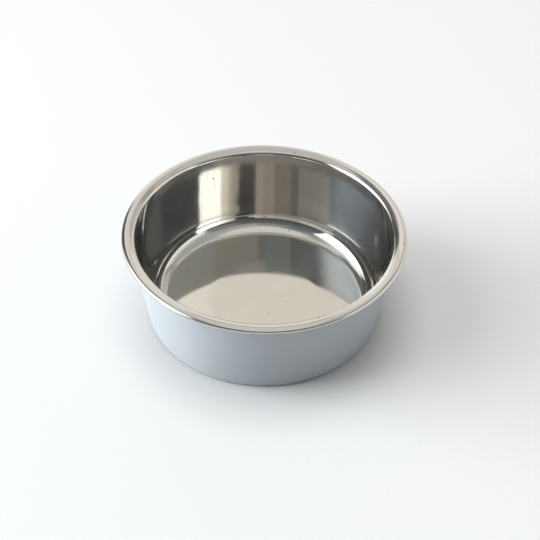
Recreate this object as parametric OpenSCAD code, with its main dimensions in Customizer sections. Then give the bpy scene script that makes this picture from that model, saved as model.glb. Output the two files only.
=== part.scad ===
// Pet bowl: a drawn steel bowl that hangs by its flange in a moulded shell,
// with a rubber ring let into the underside of the shell.
// The origin is on the table, under the middle of the bowl, and +Z is up.

/* [Steel bowl] */
// Diameter across the rolled edge
rim_d = 165; // [140:1:200]
// Height of the rolled edge above the table
overall_h = 58; // [50:1:75]
// Thickness of the steel sheet
sheet_t = 0.6; // [0.5:0.05:0.9]
// Outside radius of the rolled edge
curl_r = 1.5; // [1.3:0.1:2]
// How far the sheet turns round in the rolled edge, in degrees
curl_turn = 250; // [200:5:270]
// Width of the flange, from the outside of the rolled edge to the centre of the inner bend
flange_w = 5.5; // [4.8:0.1:9]
// How far the flange dips from the rolled edge to the inner bend
flange_dip = 0.8; // [0.3:0.05:1.5]
// Radius of the bend between flange and wall, on the food side
bend_r = 2.2; // [2.1:0.1:4]
// Diameter of the floor, up to its fillet
floor_d = 114; // [90:1:118]
// Height of the flat outer part of the floor above the table, on the food side
floor_h = 4.4; // [4.2:0.1:6.5]
// Radius between floor and wall, on the food side
floor_fillet_r = 11.8; // [9:0.1:13]
// Diameter of the shallow dish in the middle of the floor
dish_d = 69; // [50:1:80]
// How far the middle of the dish lies below the outer part of the floor
dish_depth = 0.36; // [0.2:0.02:0.44]
// Width of the rounded brow of the dish
dish_edge_w = 3.2; // [2:0.1:6]

/* [Moulded shell] */
// Wall thickness of the shell
shell_t = 1.5; // [1.2:0.1:1.7]
// Gap between the bowl and the shell, all round
nest_gap = 0.6; // [0.55:0.05:0.7]
// Gap under the bend where the bowl rests on the lip of the shell
seat_gap = 0.3; // [0.1:0.05:0.35]
// Rounding of the lower outside edge
base_edge_r = 1.2; // [0.6:0.1:1.4]
// Number of stiffening ribs under the floor
rib_count = 8; // [4:1:16]
// Thickness of the ribs, of the hub and of the low wall beside the rubber
rib_t = 1.2; // [1:0.1:1.6]
// Radius to the outside of the round hub where the ribs meet
hub_r = 10; // [6:0.5:20]
// How far the ribs and the hub stay above the lower edge of the shell
rib_lift = 0.3; // [0.1:0.05:0.4]

/* [Rubber ring] */
// How far the rubber stands out below the shell
foot_proud = 0.8; // [0.6:0.1:1]
// Width of the channel that holds the rubber
channel_w = 4.6; // [3.5:0.1:5]
// Gap between the rubber and the channel
ring_gap = 0.1; // [0.05:0.05:0.2]
// Rounding of the lower edges of the rubber
foot_edge_r = 0.7; // [0.4:0.1:0.75]

/* [Hidden] */
$fn = 180;
// Largest turn between two points of a round stretch, in degrees, and its least number of steps
arc_step = 6;
arc_steps_min = 4;

steel_colour = [0.80, 0.79, 0.76];
shell_colour = [0.57, 0.61, 0.66];
rubber_colour = [0.13, 0.13, 0.14];

// The steel bowl in section, measured on its food side
rim_r = rim_d / 2;
floor_r = floor_d / 2;
fillet_c = [floor_r, floor_h + floor_fillet_r];
bend_c = [rim_r - flange_w, overall_h - flange_dip - bend_r];
curl_c = [rim_r - curl_r, overall_h - curl_r];

// The dish is a wide hollow, and its brow a round turned the other way that ends level with the floor
dish_r = dish_d / 2;
dish_turn = 2 * atan(dish_depth / dish_r);
dish_hollow_r = (dish_r - dish_edge_w) / sin(dish_turn);
dish_hollow_c = [0, floor_h - dish_depth + dish_hollow_r];
dish_brow_r = dish_edge_w / sin(dish_turn);
dish_brow_c = [dish_r, floor_h - dish_brow_r];

// The wall leans outwards so that it touches the floor fillet and the bend
wall_span = bend_c - fillet_c;
wall_tilt = acos((floor_fillet_r + bend_r) / norm(wall_span)) - atan2(wall_span.y, wall_span.x);
wall_out = heading(-wall_tilt);
wall_up = heading(90 - wall_tilt);

// The flange lies over the bend and the rolled edge
flange_span = curl_c - bend_c;
flange_tilt = atan2(flange_span.y, flange_span.x) - asin((bend_r - curl_r) / norm(flange_span));

// The shell follows the outside of the bowl: offsets of its two faces from the food side
nest_off = sheet_t + nest_gap;
skin_off = nest_off + shell_t;
nest_fillet_r = floor_fillet_r + nest_off;
skin_fillet_r = floor_fillet_r + skin_off;
nest_floor_h = floor_h - nest_off;
under_floor_h = floor_h - skin_off;

// The lip of the shell is round and reaches up into the bend
lip_r = shell_t / 2;
lip_side = bend_r - nest_off - lip_r;
lip_room = bend_r - sheet_t - seat_gap - lip_r;
lip_rise = sqrt(max(0, pow(lip_room, 2) - pow(lip_side, 2)));
lip_c = bend_c - lip_side * wall_out + lip_rise * wall_up;

// Underside of the shell, with the channel for the rubber between its skirt and a low wall
base_edge_h = foot_proud + base_edge_r;
base_edge_c = [wall_r(base_edge_h, skin_off) - base_edge_r / cos(wall_tilt), base_edge_h];
channel_out = wall_r(foot_proud, nest_off);
channel_in = channel_out - channel_w;
channel_wall_in = channel_in - rib_t;
skirt_turn = acos(nest_fillet_r / skin_fillet_r);
rib_h = foot_proud + rib_lift;

// The ribs end inside the low wall, and reach up to the middle of the shell's thickness
rib_from = hub_r - rib_t / 2;
rib_to = channel_in - rib_t / 2;
mid_fillet_r = skin_fillet_r - shell_t / 2;
mid_floor_h = under_floor_h + shell_t / 2;

// Rubber ring, clear of the channel on every side
foot_in = channel_in + ring_gap;
foot_in_c = [foot_in + foot_edge_r, foot_edge_r];
foot_out_c = [wall_r(foot_edge_r, nest_off) - (ring_gap + foot_edge_r) / cos(wall_tilt), foot_edge_r];
ring_top_r = skin_fillet_r + ring_gap;
ring_turn = acos((nest_fillet_r - ring_gap) / ring_top_r);

// Unit vector at angle a
function heading(a) = [cos(a), sin(a)];

// Radius of the wall at height z, moved outwards by off
function wall_r(z, off) =
    fillet_c.x + (z - fillet_c.y) * tan(wall_tilt) + (floor_fillet_r + off) / cos(wall_tilt);

// Angles along a round stretch, in even steps
function angles(from, to) =
    let (steps = max(arc_steps_min, ceil(abs(to - from) / arc_step)))
    [for (i = [0 : steps]) from + (to - from) * i / steps];

// Points of a round stretch of an outline
function arc(c, r, from, to) = [for (a = angles(from, to)) c + r * heading(a)];

// Where a circle round the floor fillet is at distance x from the axis
function fillet_angle(x, r) = -acos(max(0, x - fillet_c.x) / r);

// A turn of the sheet: the points on its food side, each with the way into the sheet
function turn(c, r, from, to, into) = [for (a = angles(from, to)) [c + r * heading(a), into * heading(a)]];

bowl_path = concat(
    turn(dish_hollow_c, dish_hollow_r, -90, dish_turn - 90, 1),
    turn(dish_brow_c, dish_brow_r, 90 + dish_turn, 90, -1),
    turn(fillet_c, floor_fillet_r, -90, -wall_tilt, 1),
    turn(bend_c, bend_r, 180 - wall_tilt, 90 + flange_tilt, -1),
    turn(curl_c, curl_r, 90 + flange_tilt, 90 + flange_tilt - curl_turn, -1)
);

// A sheet of even thickness t along a path
module sheet(path, t) {
    food_side = [for (p = path) p[0]];
    far_side = [for (i = [len(path) - 1 : -1 : 0]) path[i][0] + t * path[i][1]];
    polygon(concat(food_side, far_side));
}

// Floor, wall and round lip, down the outside to the skirt, and back along the underside
module shell_section() {
    inside = concat(
        [[0, nest_floor_h]],
        arc(fillet_c, nest_fillet_r, -90, -wall_tilt),
        arc(lip_c, lip_r, 180 - wall_tilt, -wall_tilt)
    );
    skirt = concat(
        arc(base_edge_c, base_edge_r, -wall_tilt, -90),
        [[channel_out, foot_proud]]
    );
    channel = concat(
        arc(fillet_c, skin_fillet_r, -wall_tilt - skirt_turn, fillet_angle(channel_in, skin_fillet_r)),
        [[channel_in, foot_proud], [channel_wall_in, foot_proud]]
    );
    underside = concat(
        arc(fillet_c, skin_fillet_r, fillet_angle(channel_wall_in, skin_fillet_r), -90),
        [[hub_r, under_floor_h], [hub_r, rib_h], [hub_r - rib_t, rib_h], [hub_r - rib_t, under_floor_h]],
        [[0, under_floor_h]]
    );
    polygon(concat(inside, skirt, channel, underside));
}

// A rib from the hub to the low wall, which follows the floor and its fillet
module rib_section() {
    polygon(concat(
        [[rib_from, rib_h], [rib_to, rib_h]],
        arc(fillet_c, mid_fillet_r, fillet_angle(rib_to, mid_fillet_r), -90),
        [[rib_from, mid_floor_h]]
    ));
}

module ribs() {
    for (i = [0 : rib_count - 1])
        rotate([90, 0, i * 360 / rib_count])
            linear_extrude(rib_t, center = true) rib_section();
}

module ring_section() {
    polygon(concat(
        arc(foot_in_c, foot_edge_r, 180, 270),
        arc(foot_out_c, foot_edge_r, -90, -wall_tilt),
        arc(fillet_c, ring_top_r, -wall_tilt - ring_turn, fillet_angle(foot_in, ring_top_r))
    ));
}

module inner_bowl() {
    color(steel_colour) rotate_extrude() sheet(bowl_path, sheet_t);
}

module outer_shell() {
    color(shell_colour) {
        rotate_extrude() shell_section();
        ribs();
    }
}

module non_slip_ring() {
    color(rubber_colour) rotate_extrude() ring_section();
}

inner_bowl();
outer_shell();
non_slip_ring();
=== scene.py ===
from math import acos, asin, atan2, ceil, cos, degrees, pi, radians, sin, sqrt, tan

import bmesh
import bpy
from mathutils import Matrix, Vector


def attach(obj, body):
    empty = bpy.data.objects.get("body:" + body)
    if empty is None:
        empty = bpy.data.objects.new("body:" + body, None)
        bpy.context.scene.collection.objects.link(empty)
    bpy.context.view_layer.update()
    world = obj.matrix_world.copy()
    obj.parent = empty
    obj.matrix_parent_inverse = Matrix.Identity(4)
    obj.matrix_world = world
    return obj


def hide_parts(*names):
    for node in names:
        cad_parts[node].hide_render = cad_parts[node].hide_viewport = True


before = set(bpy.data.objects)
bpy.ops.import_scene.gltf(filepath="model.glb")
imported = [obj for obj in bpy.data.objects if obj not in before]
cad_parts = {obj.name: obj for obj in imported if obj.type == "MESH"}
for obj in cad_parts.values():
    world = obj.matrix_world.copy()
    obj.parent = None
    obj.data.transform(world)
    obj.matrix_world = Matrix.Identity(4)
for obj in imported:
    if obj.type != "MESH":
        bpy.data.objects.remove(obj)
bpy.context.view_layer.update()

mm = 0.001
scene = bpy.context.scene


# camera, at the photograph's angle
camera = {
    "place": (0, -0.56968, 0.54801),
    "aim": (0.003834, 0.029539, 0),
    "roll": 1.234,                        # degrees, clockwise in the picture
    "focal": 1300, "pictureWide": 540,    # both in pixels
    "sensorWide": 36,
    "near": 0.05, "far": 20,
}


def addCamera():
    eye = Vector(camera["place"])
    ahead = (Vector(camera["aim"]) - eye).normalized()
    side = ahead.cross(Vector((0, 0, 1))).normalized()
    up = side.cross(ahead)
    turn = radians(camera["roll"])
    right = side * cos(turn) + up * sin(turn)
    up = up * cos(turn) - side * sin(turn)
    data = bpy.data.cameras.new("photoCamera")
    data.sensor_width = camera["sensorWide"]
    data.lens = camera["focal"] / camera["pictureWide"] * camera["sensorWide"]
    data.clip_start = camera["near"]
    data.clip_end = camera["far"]
    data.dof.use_dof = False
    made = bpy.data.objects.new("photoCamera", data)
    scene.collection.objects.link(made)
    axes = Matrix((right, up, -ahead)).transposed().to_4x4()
    made.matrix_world = Matrix.Translation(eye) @ axes
    scene.camera = made


addCamera()
print("camera in place")


# node maths
class Wire:
    # one socket of a node; sums written with it add Math nodes
    def __init__(self, tree, socket=None, node=None):
        self.tree = tree
        self.socket = socket
        self.made = node

    def add(self, kind, settings=None, values=None, take=0):
        # any node: its settings first, then what goes into its sockets
        node = self.tree.nodes.new(kind)
        for name, setting in (settings or {}).items():
            setattr(node, name, setting)
        for name, value in (values or {}).items():
            if isinstance(value, Wire):
                self.tree.links.new(value.socket, node.inputs[name])
            else:
                node.inputs[name].default_value = value
        return Wire(self.tree, node.outputs[take] if len(node.outputs) else None, node)

    def take(self, name):
        # another output of the same node
        return Wire(self.tree, self.made.outputs[name], self.made)

    def maths(self, operation, *numbers):
        return self.add("ShaderNodeMath", {"operation": operation}, dict(enumerate(numbers)))

    def __add__(self, other):
        return self.maths("ADD", self, other)

    def __radd__(self, other):
        return self.maths("ADD", other, self)

    def __sub__(self, other):
        return self.maths("SUBTRACT", self, other)

    def __rsub__(self, other):
        return self.maths("SUBTRACT", other, self)

    def __mul__(self, other):
        return self.maths("MULTIPLY", self, other)

    def __rmul__(self, other):
        return self.maths("MULTIPLY", other, self)

    def ease(self, low, high, start=0.0, end=1.0):
        # goes smoothly from start to end while the value goes from low to high
        return self.add("ShaderNodeMapRange", {"interpolation_type": "SMOOTHSTEP"},
                        {"Value": self, "From Min": low, "From Max": high, "To Min": start, "To Max": end})

    def between(self, low, high, soft):
        # 1 from low to high and 0 outside, with edges of width soft
        rise = self.ease(low - soft / 2, low + soft / 2)
        return rise * self.ease(high - soft / 2, high + soft / 2, 1, 0)

    def blend(self, first, second):
        # mixes two colours, with this value as the share of the second
        values = {"Factor": self, 6: first, 7: second}
        return self.add("ShaderNodeMix", {"data_type": "RGBA"}, values, take=2)

    def noise(self, scale, detail, roughness=0.5):
        # noise over this place
        values = {"Vector": self, "Scale": scale, "Detail": detail, "Roughness": roughness}
        return self.add("ShaderNodeTexNoise", values=values)

    def bump(self, strength, deep):
        # the normal of a surface with this value as its height
        return self.add("ShaderNodeBump", values={"Strength": strength, "Distance": deep, "Height": self})


def tinted(colour, share=1.0):
    # a colour as a socket takes it, at a share of its brightness
    return [*(c * share for c in colour), 1]


# the room as the steel mirrors it: soft lights and plain walls, placed by their direction from the bowl
# each panel: azimuth from, to, elevation from, to (degrees; 0 is behind the bowl, 90 to its right),
# how soft its edges are sideways and upwards, its brightness and its tint; a later one covers earlier ones
room = {
    "onMatt": 0.85,      # how much of its light reaches matt surfaces; the lamps make up for the rest
    "seam": -122,        # where the azimuth starts, left of the window, so that the far side is one run
    "base": (0.25, (0.95, 1.0, 1.02)),
    "panels": {
        "ceiling": (-400, 400, 69, 200, 5, 10, 0.98, (0.99, 1.0, 0.97)),
        "behindTop": (104, 206, 60, 69, 8, 6, 0.66, (0.97, 1.0, 0.98)),
        "behindTopLeft": (206, 262, 60, 69, 8, 6, 0.36, (0.97, 1.0, 1.0)),
        "behindHigh": (110, 173, 48, 60, 8, 6, 0.52, (1.0, 1.0, 0.90)),
        "behindMiddle": (173, 194, 48, 60, 3, 6, 0.34, (0.99, 1.0, 0.94)),
        "behindLeft": (194, 262, 48, 60, 8, 6, 0.26, (0.97, 1.0, 0.96)),
        "behindDoor": (182, 212, 54, 64, 2, 3, 0.40, (0.90, 1.0, 0.98)),
        "windowAbove": (-126, -66, 60, 69, 8, 6, 0.48, (0.97, 1.0, 0.94)),
        "backWall": (150, 250, 34, 48, 8, 6, 0.18, (0.92, 1.0, 1.12)),
        "backLow": (136, 240, 6, 34, 8, 6, 0.12, (0.97, 1.0, 1.0)),
        "lowGlow": (172, 188, -4, 8, 6, 4, 1.00, (1.0, 1.0, 0.98)),
        "rightWall": (58, 120, -20, 35, 8, 6, 1.35, (0.97, 1.0, 0.98)),
        "rightWallHigh": (50, 118, 35, 43, 18, 4, 0.90, (0.97, 1.0, 0.95)),
        "rightWallTop": (50, 118, 43, 58, 18, 6, 0.60, (0.95, 1.0, 0.96)),
        "rightCeiling": (50, 118, 58, 69, 6, 6, 0.62, (0.97, 1.0, 0.98)),
        "backRight": (120, 150, 30, 48, 20, 6, 0.32, (0.93, 1.0, 1.06)),
        "farWall": (-16, 17, 34, 57, 3, 3, 1.03, (1.05, 1.0, 0.91)),
        "farWallLow": (-18, 17, -5, 34, 3, 4, 1.12, (1.02, 1.0, 0.95)),
        "farWallBright": (-16, -3, 36, 50, 8, 4, 1.25, (1.04, 1.0, 0.91)),
        "farTop": (-70, 50, 57, 69, 8, 4, 0.82, (0.98, 1.0, 0.96)),
        "farRight": (17, 50, 34, 57, 6, 4, 0.73, (1.04, 1.0, 0.95)),
        "farRightLow": (17, 60, -5, 34, 6, 4, 1.00, (1.01, 1.0, 0.96)),
        "thinDark": (44, 58, 34, 47, 4, 4, 0.50, (1.02, 1.0, 0.95)),
        "gapNear": (-3.4, 3.4, 22, 30.5, 1.5, 2, 0.62, (1.0, 1.0, 0.95)),
        "gapHigh": (18, 44, 45.5, 50.5, 6, 2, 0.50, (1.0, 1.0, 0.96)),
        "windowEnd": (-64, -44, 6, 50, 6, 6, 1.45, (1.0, 1.0, 0.93)),
        "windowSpill": (-90, -62, 6, 50, 14, 6, 3.0, (0.98, 1.0, 0.93)),
        "windowTop": (-106, -50, 51, 60, 26, 7, 1.05, (0.89, 1.0, 1.05)),
        "window": (-118, -77, 6, 51, 6, 4, 6.2, (0.92, 1.0, 1.02)),
        "farWallLeft": (-30, -9, 2, 27, 6, 5, 1.45, (1.0, 1.0, 0.96)),
        "darkLow": (-51, -27, -20, 28, 4, 3, 0.14, (0.95, 1.0, 1.0)),
        "darkMiddle": (-51, -17, 26, 38, 3, 3, 0.10, (0.95, 1.0, 1.0)),
        "darkHigh": (-45.5, -21, 38, 51, 3, 10, 0.20, (0.95, 1.0, 1.02)),
    },
}


def lightRoom():
    world = bpy.data.worlds.new("studio")
    scene.world = world
    world.use_nodes = True
    tree = world.node_tree
    tree.nodes.clear()
    start = Wire(tree)
    ray = start.add("ShaderNodeTexCoord").take("Generated")
    parts = start.add("ShaderNodeSeparateXYZ", values={0: ray})
    azimuth = start.maths("ARCTAN2", parts.take("X"), parts.take("Y")) * degrees(1)
    azimuth = start.maths("FLOORED_MODULO", azimuth - room["seam"], 360) + room["seam"]
    height = start.maths("ARCSINE", parts.take("Z")) * degrees(1)
    strength, tint = room["base"]
    glow = tinted(tint, strength)
    for left, right, low, high, softAside, softUp, strength, tint in room["panels"].values():
        mask = azimuth.between(left, right, softAside) * height.between(low, high, softUp)
        glow = mask.blend(glow, tinted(tint, strength))
    matt = start.add("ShaderNodeLightPath").take("Is Diffuse Ray")
    share = 1 - matt * (1 - room["onMatt"])
    light = start.add("ShaderNodeBackground", values={"Color": glow, "Strength": share})
    start.add("ShaderNodeOutputWorld", values={"Surface": light})


# soft lamps that show in no reflection: one low beyond the left edge, which gives the table its fall
# from left to right, one overhead, and a weak one at the near right
lamps = {
    "sideLamp": {"place": (-1.6, 0.05, 0.42), "size": (1.0, 0.5), "power": 35, "tint": (0.98, 0.99, 1.0)},
    "topLamp": {"place": (0.0, 0.15, 1.9), "size": (1.2, 1.2), "power": 21, "tint": (1.0, 1.0, 0.99)},
    "fillLamp": {"place": (1.1, -0.9, 1.3), "size": (1.2, 1.0), "power": 2.5, "tint": (1.0, 1.0, 1.0)},
}


def addLamps():
    for name, lamp in lamps.items():
        data = bpy.data.lights.new(name, "AREA")
        data.shape = "RECTANGLE"
        data.size, data.size_y = lamp["size"]
        data.energy = lamp["power"]
        data.color = lamp["tint"]
        made = bpy.data.objects.new(name, data)
        scene.collection.objects.link(made)
        aim = -Vector(lamp["place"])
        facing = aim.to_track_quat("-Z", "Y").to_matrix().to_4x4()
        made.matrix_world = Matrix.Translation(lamp["place"]) @ facing
        made.visible_glossy = False
        made.visible_camera = False


lightRoom()
addLamps()
scene.view_settings.view_transform = "Standard"
scene.view_settings.look = "None"
print("room lit")


# mesh tools; sections are drawn in mm, and finishPiece brings them to metres
outlining = {
    "hold": 0.25,        # extra points this near the ends of a straight stretch keep its shading flat
    "holdFrom": 1.0,     # on stretches longer than this
    "fewest": 2,         # steps in the shortest round
    "weld": 1e-6,        # points nearer than this are one
}


def heading(angle):
    return Vector((cos(radians(angle)), sin(radians(angle))))


class Outline:
    # draws a section in the XZ plane with a moving tip, then turns it round the bowl's axis
    def __init__(self, start):
        self.mesh = bmesh.new()
        self.tip = self.mesh.verts.new((start[0], 0, start[1]))

    def line(self, end):
        start = self.tip.co.xz
        way = Vector(end) - start
        hold = way.normalized() * outlining["hold"]
        stops = [hold, way - hold, way] if way.length > outlining["holdFrom"] else [way]
        for stop in stops:
            self.tip = bmesh.ops.extrude_vert_indiv(self.mesh, verts=[self.tip])["verts"][0]
            self.tip.co = (start.x + stop.x, 0, start.y + stop.y)

    def arc(self, centre, start, end, step):
        # from angle start to angle end, in degrees, about a centre in the section
        steps = max(outlining["fewest"], ceil(abs(end - start) / step))
        swept = bmesh.ops.spin(self.mesh, geom=[self.tip], cent=(centre[0], 0, centre[1]), axis=(0, 1, 0),
                               angle=radians(start - end), steps=steps)
        self.tip = [v for v in swept["geom_last"] if isinstance(v, bmesh.types.BMVert)][0]

    def lineAndArc(self, centre, reach, start, end, step):
        # a straight stretch up to a round, and then the round
        self.line(centre + reach * heading(start))
        self.arc(centre, start, end, step)

    def turnRound(self, steps):
        mesh = self.mesh
        bmesh.ops.remove_doubles(mesh, verts=mesh.verts, dist=outlining["weld"])
        bmesh.ops.spin(mesh, geom=mesh.verts[:] + mesh.edges[:], cent=(0, 0, 0), axis=(0, 0, 1), angle=2 * pi,
                       steps=steps, use_merge=True)
        bmesh.ops.remove_doubles(mesh, verts=mesh.verts, dist=outlining["weld"])
        bmesh.ops.recalc_face_normals(mesh, faces=mesh.faces)
        return mesh


def finishPiece(mesh, name, node, body, sharpAngle):
    bmesh.ops.scale(mesh, vec=(mm, mm, mm), verts=mesh.verts)
    for face in mesh.faces:
        face.smooth = True
    for edge in mesh.edges:
        edge.smooth = len(edge.link_faces) != 2 or edge.calc_face_angle(0) < radians(sharpAngle)
    data = bpy.data.meshes.new(name)
    mesh.to_mesh(data)
    mesh.free()
    piece = bpy.data.objects.new(name, data)
    scene.collection.objects.link(piece)
    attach(piece, body)
    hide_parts(node)
    return piece


# steel bowl, in mm and degrees
bowl = {
    "rimAcross": 165, "high": 58, "sheet": 0.6, "curl": 1.5, "curlTurn": 250,
    "flangeWide": 5.5, "flangeDip": 0.8, "flangeCrown": 4, "shoulder": 3.0, "curlTight": 1.2, "bend": 2.2,
    "floorAcross": 114, "floorHigh": 4.4, "fillet": 11.8,
    "dishAcross": 69, "dishDeep": 0.36, "dishEdge": 3.2,
    # the fineness of the mesh: steps all round and across the dish, and degrees to a step elsewhere
    "steps": 288, "hollowSteps": 8, "browSteps": 4,
    "filletStep": 3, "bendStep": 4, "crownStep": 1, "shoulderStep": 3, "curlStep": 7,
    "crownTries": 12,      # how often the slope of the crowned flange is worked out anew, until it settles
    "sharpAngle": 50,      # a steeper edge than this is shaded sharp
}


def bowlCentres():
    # centres of the fillet, the bend and the rolled edge, and the tilts of wall and flange, as in the CAD
    fillet, bend, curl = bowl["fillet"], bowl["bend"], bowl["curl"]
    rim = bowl["rimAcross"] / 2
    filletAt = Vector((bowl["floorAcross"] / 2, bowl["floorHigh"] + fillet))
    bendAt = Vector((rim - bowl["flangeWide"], bowl["high"] - bowl["flangeDip"] - bend))
    curlAt = Vector((rim - curl, bowl["high"] - curl))
    span = bendAt - filletAt
    wallTilt = degrees(acos((fillet + bend) / span.length) - atan2(span.y, span.x))
    span = curlAt - bendAt
    flangeTilt = degrees(atan2(span.y, span.x) - asin((bend - curl) / span.length))
    return filletAt, bendAt, curlAt, wallTilt, flangeTilt


filletAt, bendAt, curlAt, wallTilt, flangeTilt = bowlCentres()


def wallReach(z, out):
    # how far the wall is from the axis at height z, moved outwards by out
    rise = (z - filletAt.y) * tan(radians(wallTilt))
    return filletAt.x + rise + (bowl["fillet"] + out) / cos(radians(wallTilt))


def rolledEdge():
    # the edge rolls over slowly at first and then more tightly, inside the CAD's height and width
    shoulder, tight = bowl["shoulder"], bowl["curlTight"]
    tightAt = Vector((bowl["rimAcross"] / 2 - tight, curlAt.y))
    handOver = degrees(asin((shoulder - (bowl["high"] - tightAt.y)) / (shoulder - tight)))
    return tightAt - (shoulder - tight) * heading(handOver), tightAt, handOver


def flangeRound(shoulderAt):
    # the flange is faintly crowned: a wide round that touches the bend and the shoulder from outside
    bend, shoulder, crown = bowl["bend"], bowl["shoulder"], bowl["flangeCrown"]
    slope = flangeTilt
    for _ in range(bowl["crownTries"]):
        across = shoulderAt + shoulder * heading(90 + slope - crown)
        across = across - bendAt - bend * heading(90 + slope + crown)
        slope = degrees(atan2(across.y, across.x))
    reach = across.length / (2 * sin(radians(crown)))
    return bendAt - (reach - bend) * heading(90 + slope + crown), 90 + slope + crown, 90 + slope - crown


def makeBowl():
    # the middle of the floor is dished: a wide hollow, then a short rise that levels out
    dishReach = bowl["dishAcross"] / 2
    dishTurn = 2 * degrees(atan2(bowl["dishDeep"], dishReach))
    hollow = (dishReach - bowl["dishEdge"]) / sin(radians(dishTurn))
    brow = bowl["dishEdge"] / sin(radians(dishTurn))
    dishFloor = bowl["floorHigh"] - bowl["dishDeep"]
    section = Outline((0, dishFloor))
    section.arc((0, dishFloor + hollow), -90, -90 + dishTurn, dishTurn / bowl["hollowSteps"])
    section.arc((dishReach, bowl["floorHigh"] - brow), 90 + dishTurn, 90, dishTurn / bowl["browSteps"])
    # up the wall, over the bend and the crowned flange, and round the rolled edge
    shoulderAt, tightAt, handOver = rolledEdge()
    crownAt, crownStart, crownEnd = flangeRound(shoulderAt)
    section.lineAndArc(filletAt, bowl["fillet"], -90, -wallTilt, bowl["filletStep"])
    section.lineAndArc(bendAt, bowl["bend"], 180 - wallTilt, crownStart, bowl["bendStep"])
    section.arc(crownAt, crownStart, crownEnd, bowl["crownStep"])
    section.arc(shoulderAt, crownEnd, handOver, bowl["shoulderStep"])
    section.arc(tightAt, handOver, 90 + flangeTilt - bowl["curlTurn"], bowl["curlStep"])
    mesh = section.turnRound(bowl["steps"])
    floorFace = min(mesh.faces, key=lambda f: f.calc_center_median().xy.length)
    if floorFace.normal.z < 0:
        bmesh.ops.reverse_faces(mesh, faces=mesh.faces)
    bmesh.ops.solidify(mesh, geom=mesh.faces, thickness=bowl["sheet"])
    return finishPiece(mesh, "steelBowl", "inner_bowl", "bowl", bowl["sharpAngle"])


steelBowl = makeBowl()
print("steel bowl made")


# moulded shell and the rubber ring under it, in mm and degrees
shell = {
    "thick": 1.5, "nestGap": 0.6, "seatGap": 0.3, "baseRound": 1.2,
    "ribs": 8, "ribThick": 1.2, "ribLift": 0.3, "hub": 10,
    "ribSunk": 0.15,                       # how far the ribs' tops lie under the shell's inside
    "ribRound": 0.25, "ribRoundSteps": 3,
    "steps": 240, "wideStep": 5, "tightStep": 10,
    "sharpAngle": 40,
}
foot = {
    "proud": 0.8, "channel": 4.6, "gap": 0.1, "round": 0.7,
    "steps": 240, "wideStep": 5, "tightStep": 10,
    "sharpAngle": 40,
}

# the shell follows the outside of the bowl: how far its two faces are from the food side
nestOff = bowl["sheet"] + shell["nestGap"]
skinOff = nestOff + shell["thick"]
nestRound = bowl["fillet"] + nestOff
skinRound = bowl["fillet"] + skinOff
channelOut = wallReach(foot["proud"], nestOff)
channelIn = channelOut - foot["channel"]


def underAngle(x, reach):
    # where a circle round the floor fillet is at distance x from the axis
    return -degrees(acos(max(0, x - filletAt.x) / reach))


def lipCentre():
    # the lip is round and reaches up into the bend
    lip = shell["thick"] / 2
    lipSide = bowl["bend"] - nestOff - lip
    lipRoom = bowl["bend"] - bowl["sheet"] - shell["seatGap"] - lip
    lipRise = sqrt(max(0, lipRoom ** 2 - lipSide ** 2))
    return bendAt - lipSide * heading(-wallTilt) + lipRise * heading(90 - wallTilt)


def addRib(mesh, inner, outer, low, high, angle):
    # one rib from the hub outwards along +X, which is then turned to its place
    middle = Vector((inner + outer, 0, low + high)) / 2
    rib = bmesh.ops.create_cube(mesh, size=1)["verts"]
    bmesh.ops.scale(mesh, vec=(outer - inner, shell["ribThick"], high - low), verts=rib)
    bmesh.ops.translate(mesh, vec=middle, verts=rib)
    # its two long lower edges are rounded: those below its middle that stay on one side of it
    edges = dict.fromkeys(e for v in rib for e in v.link_edges)
    edges = [e for e in edges if max(v.co.z for v in e.verts) < middle.z]
    edges = [e for e in edges if e.verts[0].co.y * e.verts[1].co.y > 0]
    rounded = bmesh.ops.bevel(mesh, geom=edges, offset=shell["ribRound"], segments=shell["ribRoundSteps"],
                              profile=0.5, affect="EDGES", material=-1)
    rib = list(dict.fromkeys([v for v in rib if v.is_valid] + rounded["verts"]))
    bmesh.ops.rotate(mesh, cent=(0, 0, 0), matrix=Matrix.Rotation(angle, 3, "Z"), verts=rib)


def makeShell():
    ribThick, hub = shell["ribThick"], shell["hub"]
    wideStep, tightStep = shell["wideStep"], shell["tightStep"]
    baseEdge = foot["proud"] + shell["baseRound"]
    baseAt = Vector((wallReach(baseEdge, skinOff) - shell["baseRound"] / cos(radians(wallTilt)), baseEdge))
    ribFoot = foot["proud"] + shell["ribLift"]
    underFloor = bowl["floorHigh"] - skinOff
    skirtTurn = degrees(acos(nestRound / skinRound))
    # along the inside, over the lip and down the outside
    section = Outline((0, bowl["floorHigh"] - nestOff))
    section.lineAndArc(filletAt, nestRound, -90, -wallTilt, wideStep)
    section.lineAndArc(lipCentre(), shell["thick"] / 2, 180 - wallTilt, -wallTilt, tightStep)
    section.lineAndArc(baseAt, shell["baseRound"], -wallTilt, -90, tightStep)
    # the channel for the rubber, between the skirt and a low wall
    section.line((channelOut, foot["proud"]))
    section.lineAndArc(filletAt, skinRound, -wallTilt - skirtTurn, underAngle(channelIn, skinRound), wideStep)
    section.line((channelIn, foot["proud"]))
    section.line((channelIn - ribThick, foot["proud"]))
    section.lineAndArc(filletAt, skinRound, underAngle(channelIn - ribThick, skinRound), -90, wideStep)
    # the hub, and back to the axis
    section.line((hub, underFloor))
    section.line((hub, ribFoot))
    section.line((hub - ribThick, ribFoot))
    section.line((hub - ribThick, underFloor))
    section.line((0, underFloor))
    mesh = section.turnRound(shell["steps"])
    ribFrom, ribTo = hub - ribThick / 2, channelIn - ribThick / 2
    ribTop = bowl["floorHigh"] - nestOff - shell["ribSunk"]
    for i in range(shell["ribs"]):
        addRib(mesh, ribFrom, ribTo, ribFoot, ribTop, 2 * pi * i / shell["ribs"])
    return finishPiece(mesh, "greyShell", "outer_shell", "shell", shell["sharpAngle"])


greyShell = makeShell()
print("shell made")


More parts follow.
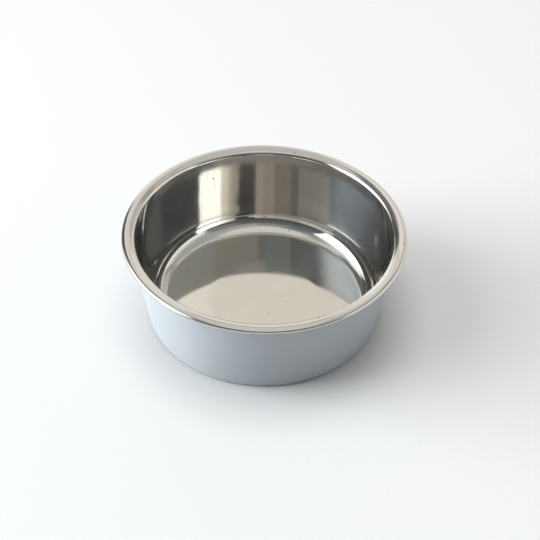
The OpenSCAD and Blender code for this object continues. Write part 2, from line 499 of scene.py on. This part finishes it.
def makeRing():
    gap, edge = foot["gap"], foot["round"]
    inner = channelIn + gap
    innerAt = Vector((inner + edge, edge))
    outerAt = Vector((wallReach(edge, nestOff) - (gap + edge) / cos(radians(wallTilt)), edge))
    topRound = skinRound + gap
    topTurn = degrees(acos((nestRound - gap) / topRound))
    start = innerAt + edge * heading(180)
    section = Outline(start)
    section.arc(innerAt, 180, 270, foot["tightStep"])
    section.lineAndArc(outerAt, edge, -90, -wallTilt, foot["tightStep"])
    section.lineAndArc(filletAt, topRound, -wallTilt - topTurn, underAngle(inner, topRound), foot["wideStep"])
    section.line(start)
    mesh = section.turnRound(foot["steps"])
    return finishPiece(mesh, "rubberRing", "non_slip_ring", "shell", foot["sharpAngle"])


rubberRing = makeRing()
print("rubber ring made")


# finishes; a noise is given as its scale, its detail and, where that isn't one half, its roughness
noiseSpan = (0.3, 0.7)    # where nearly all values of a noise lie


def newFinish(piece, name):
    finish = bpy.data.materials.new(name)
    finish.use_nodes = True
    finish.node_tree.nodes.clear()
    piece.data.materials.append(finish)
    return Wire(finish.node_tree)


steelLook = {
    "colour": (0.60, 0.575, 0.54), "dullShare": 0.965,
    "smooth": 0.03, "smoothWorn": 0.07,       # roughness of the mirror, from its best to its dullest
    "cloud": (45, 4, 0.55), "cloudSpan": (0.35, 0.7), "cloudShare": 0.6,
    # polishing marks: how fine they are across, per metre, and along, per radian, and what roughness they add
    "marks": (1, 3, 0.6), "marksAcross": 9000, "marksAlong": 6, "marksRough": 0.03,
    "grain": (900, 2), "marksHigh": 0.6, "grainHigh": 0.4, "bump": (0.04, 0.05 * mm),
    "specks": (420, 0), "specksFrom": (0.825, 0.86), "speckColour": (0.10, 0.09, 0.08), "speckDark": 0.6,
    "haze": 0.05, "hazeSpan": (0.6, 1.4),     # share of the light that fine scratches spread out
    "hazeColour": (0.56, 0.60, 0.65), "hazeRough": 0.42,
    "hazeLong": 1.0, "hazeTurn": 0.25,        # how far it is drawn out, and which way
    # more of it where the wall is rubbed, in degrees round from +X, and in a patch of thin upright scuffs
    "worn": 0.10, "wornAt": 56, "wornFrom": (0.6, 0.98),
    "scuff": 0.30, "scuffAt": -17, "scuffFrom": (0.955, 0.995), "scuffs": (1, 2), "scuffsShow": (0.54, 0.68),
    "scuffsAcross": 45, "scuffsAlong": 25, "scuffsSlice": 4,
    "wallStart": (9 * mm, 16 * mm), "wallEnd": (48 * mm, 53 * mm),    # heights where both fade in and out
}


def steelMirror(place, cloud, marks):
    # polished, with faint marks in its colour, its roughness and its surface, and a few dark specks
    rough = cloud.ease(*steelLook["cloudSpan"], steelLook["smooth"], steelLook["smoothWorn"])
    rough = rough + marks * steelLook["marksRough"]
    colour = cloud * steelLook["cloudShare"] + marks * (1 - steelLook["cloudShare"])
    colour = colour.ease(*noiseSpan)
    colour = colour.blend(tinted(steelLook["colour"], steelLook["dullShare"]), tinted(steelLook["colour"]))
    specks = place.noise(*steelLook["specks"]).ease(*steelLook["specksFrom"])
    colour = (specks * steelLook["speckDark"]).blend(colour, tinted(steelLook["speckColour"]))
    height = marks * steelLook["marksHigh"] + place.noise(*steelLook["grain"]) * steelLook["grainHigh"]
    return place.add("ShaderNodeBsdfPrincipled", values={
        "Base Color": colour, "Metallic": 1.0, "Roughness": rough, "Normal": height.bump(*steelLook["bump"])})


def steelHaze(start):
    # what fine scratches that run round the axis do to the light
    return start.add("ShaderNodeBsdfPrincipled", values={
        "Base Color": tinted(steelLook["hazeColour"]), "Metallic": 1.0, "Roughness": steelLook["hazeRough"],
        "Anisotropic": steelLook["hazeLong"], "Anisotropic Rotation": steelLook["hazeTurn"]})


def paintSteel(piece):
    start = newFinish(piece, "polishedSteel")
    place = start.add("ShaderNodeTexCoord").take("Object")
    parts = start.add("ShaderNodeSeparateXYZ", values={0: place})
    x, y, z = parts.take("X"), parts.take("Y"), parts.take("Z")
    reach = start.maths("SQRT", x * x + y * y)
    turn = start.maths("ARCTAN2", y, x)
    # polishing marks run round the axis: noise drawn out along the turn
    across = steelLook["marksAcross"]
    along = {"X": reach * across, "Y": turn * steelLook["marksAlong"], "Z": z * across}
    marks = start.add("ShaderNodeCombineXYZ", values=along).noise(*steelLook["marks"])
    cloud = place.noise(*steelLook["cloud"])
    # the wall is rubbed more on one side, with a few thin upright scuffs beside it
    wallOnly = z.ease(*steelLook["wallStart"]) * z.ease(*steelLook["wallEnd"], 1, 0)
    worn = start.maths("COSINE", turn - radians(steelLook["wornAt"])).ease(*steelLook["wornFrom"])
    upright = {"X": turn * steelLook["scuffsAcross"], "Y": z * steelLook["scuffsAlong"],
               "Z": steelLook["scuffsSlice"]}
    scuffs = start.add("ShaderNodeCombineXYZ", values=upright).noise(*steelLook["scuffs"])
    scuffs = scuffs.ease(*steelLook["scuffsShow"])
    patch = start.maths("COSINE", turn - radians(steelLook["scuffAt"])).ease(*steelLook["scuffFrom"])
    share = (0.5 * (cloud + marks)).ease(*noiseSpan, *steelLook["hazeSpan"]) * steelLook["haze"]
    share = share + wallOnly * (worn * steelLook["worn"] + patch * scuffs * steelLook["scuff"])
    mirror = steelMirror(place, cloud, marks)
    both = start.add("ShaderNodeMixShader", values={0: share, 1: mirror, 2: steelHaze(start)})
    start.add("ShaderNodeOutputMaterial", values={"Surface": both})


paintSteel(steelBowl)


shellLook = {
    "colour": (0.353, 0.379, 0.407), "shades": (0.975, 1.02),
    "satin": 0.30, "satinWorn": 0.38,
    "cloud": (30, 3), "grain": (2600, 2), "bump": (0.12, 0.03 * mm),
}


def paintShell(piece):
    start = newFinish(piece, "satinShell")
    place = start.add("ShaderNodeTexCoord").take("Object")
    cloud = place.noise(*shellLook["cloud"]).ease(*noiseSpan)
    dark, light = shellLook["shades"]
    colour = cloud.blend(tinted(shellLook["colour"], dark), tinted(shellLook["colour"], light))
    rough = shellLook["satin"] + cloud * (shellLook["satinWorn"] - shellLook["satin"])
    grain = place.noise(*shellLook["grain"]).bump(*shellLook["bump"])
    shader = start.add("ShaderNodeBsdfPrincipled", values={
        "Base Color": colour, "Roughness": rough, "Normal": grain})
    start.add("ShaderNodeOutputMaterial", values={"Surface": shader})


paintShell(greyShell)


rubberLook = {
    "colour": (0.024, 0.024, 0.026), "dustColour": (0.06, 0.058, 0.055),
    "matt": (0.62, 0.8),
    "dust": (120, 5, 0.65), "dustFrom": (0.45, 0.75), "grain": (1800, 3), "bump": (0.25, 0.06 * mm),
}


def paintRubber(piece):
    start = newFinish(piece, "mattRubber")
    place = start.add("ShaderNodeTexCoord").take("Object")
    grain = place.noise(*rubberLook["grain"])
    dust = place.noise(*rubberLook["dust"]).ease(*rubberLook["dustFrom"])
    colour = dust.blend(tinted(rubberLook["colour"]), tinted(rubberLook["dustColour"]))
    rough = grain.ease(*noiseSpan, *rubberLook["matt"])
    shader = start.add("ShaderNodeBsdfPrincipled", values={
        "Base Color": colour, "Roughness": rough, "Normal": grain.bump(*rubberLook["bump"])})
    start.add("ShaderNodeOutputMaterial", values={"Surface": shader})


paintRubber(rubberRing)
print("finishes on")


# table, in metres; its top lies just under the rubber, so that the two faces don't flicker
table = {
    "size": 6, "squares": 8, "below": 0.02 * mm,
    "colour": (0.533, 0.531, 0.536), "speckShade": 0.985, "matt": 0.6,
    "specks": (420, 2), "specksSpan": (0.3, 0.75),
}


def makeTable():
    mesh = bmesh.new()
    squares = table["squares"]
    bmesh.ops.create_grid(mesh, x_segments=squares, y_segments=squares, size=table["size"] / 2)
    bmesh.ops.translate(mesh, vec=(0, 0, -table["below"]), verts=mesh.verts)
    data = bpy.data.meshes.new("paleTable")
    mesh.to_mesh(data)
    mesh.free()
    top = bpy.data.objects.new("paleTable", data)
    scene.collection.objects.link(top)
    start = newFinish(top, "paleTable")
    place = start.add("ShaderNodeTexCoord").take("Object")
    specks = place.noise(*table["specks"]).ease(*table["specksSpan"])
    colour = specks.blend(tinted(table["colour"]), tinted(table["colour"], table["speckShade"]))
    shader = start.add("ShaderNodeBsdfPrincipled", values={"Base Color": colour, "Roughness": table["matt"]})
    start.add("ShaderNodeOutputMaterial", values={"Surface": shader})


makeTable()
print("table laid")
